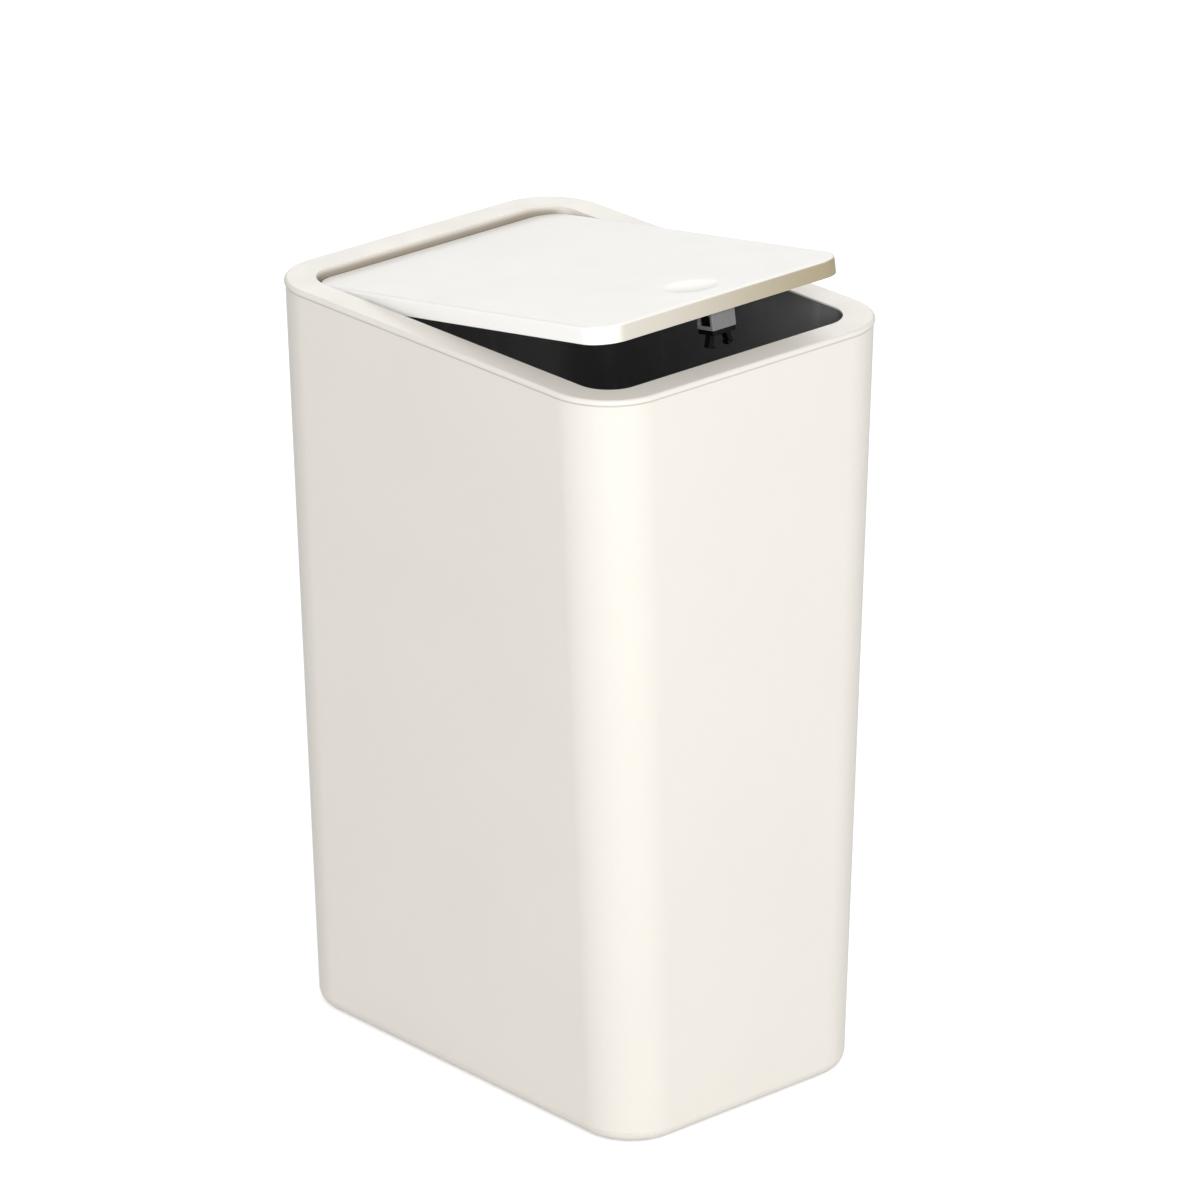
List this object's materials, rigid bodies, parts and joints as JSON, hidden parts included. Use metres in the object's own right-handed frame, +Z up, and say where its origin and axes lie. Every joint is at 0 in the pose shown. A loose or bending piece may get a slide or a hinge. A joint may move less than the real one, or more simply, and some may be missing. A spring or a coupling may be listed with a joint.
{
  "type": "push-button waste bin",
  "caption": "Tall slim kitchen waste bin with a lift-off rim frame, an inner bucket and a sprung flat lid that a push latch at its front edge holds shut.",
  "frame": {"origin": "centre of the bin's footprint on the floor, at the undersides of the foot pads", "axes": "+Z up, -Y out of the front where the lid's latch is, +X to the right of someone who faces the front"},
  "size_m": [0.1732, 0.2272, 0.3772],
  "materials": {
    "casing_plastic": "smooth semi-gloss warm white moulding",
    "frame_plastic": "smooth semi-gloss warm white moulding",
    "lid_plastic": "smooth semi-gloss warm white moulding",
    "liner_plastic": "fine-grained matt moulding",
    "bucket_plastic": "matt charcoal moulding",
    "latch_grey": "light grey engineering plastic",
    "latch_black": "black engineering plastic",
    "steel": "drawn wire and turned steel",
    "pad_rubber": "soft grey rubber"
  },
  "bodies": {
    "casing": {"outer_shell": "casing_plastic", "foot_pads": "pad_rubber", "inner_bucket": "bucket_plastic"},
    "frame": {"rim_frame": "frame_plastic", "striker": "steel", "striker_screws": "steel", "hinge_pin_left": "steel", "hinge_pin_right": "steel", "hinge_spring_left": "steel", "hinge_spring_right": "steel"},
    "lid": {"lid_cover": "lid_plastic", "lid_liner": "liner_plastic", "lid_screws": "steel", "latch_housing": "latch_grey", "latch_mouth": "latch_black", "latch_screws": "steel", "latch_cam_pin": "steel", "latch_spring": "steel"},
    "slider": {"latch_slider": "latch_black", "jaw_pins": "steel"},
    "jaw_left": {"latch_jaw_left": "latch_black"},
    "jaw_right": {"latch_jaw_right": "latch_black"}
  },
  "joints": [
    {"name": "frame_lift", "type": "slide", "parent": "casing", "child": "frame", "axis": [0, 0, 1], "range_m": [0, 0.05]},
    {"name": "lid_hinge", "type": "hinge", "parent": "frame", "child": "lid", "pos_m": [0, 0.074, 0.345], "axis": [-1, 0, 0], "range_deg": [-9.7, 66], "stiffness_Nm_per_rad": 0.15, "springref_deg": 33.04, "deforming": ["hinge_spring_left", "hinge_spring_right"]},
    {"name": "latch_slide", "type": "slide", "parent": "lid", "child": "slider", "axis": [0, 0.1599, 0.9871], "range_m": [0, 0.004], "stiffness_N_per_m": 100, "springref_m": -0.001, "deforming": ["latch_spring"]},
    {"name": "jaw_left_pivot", "type": "hinge", "parent": "slider", "child": "jaw_left", "pos_m": [-0.003, -0.08898, 0.36076], "axis": [0, -0.9871, 0.1599], "range_deg": [0, 18]},
    {"name": "jaw_right_pivot", "type": "hinge", "parent": "slider", "child": "jaw_right", "pos_m": [0.003, -0.08898, 0.36076], "axis": [0, 0.9871, -0.1599], "range_deg": [0, 18]}
  ],
  "couplings": [
    {"joint": "jaw_left_pivot", "follows": "latch_slide", "rad_per_m": 78.5},
    {"joint": "jaw_right_pivot", "follows": "latch_slide", "rad_per_m": 78.5}
  ]
}
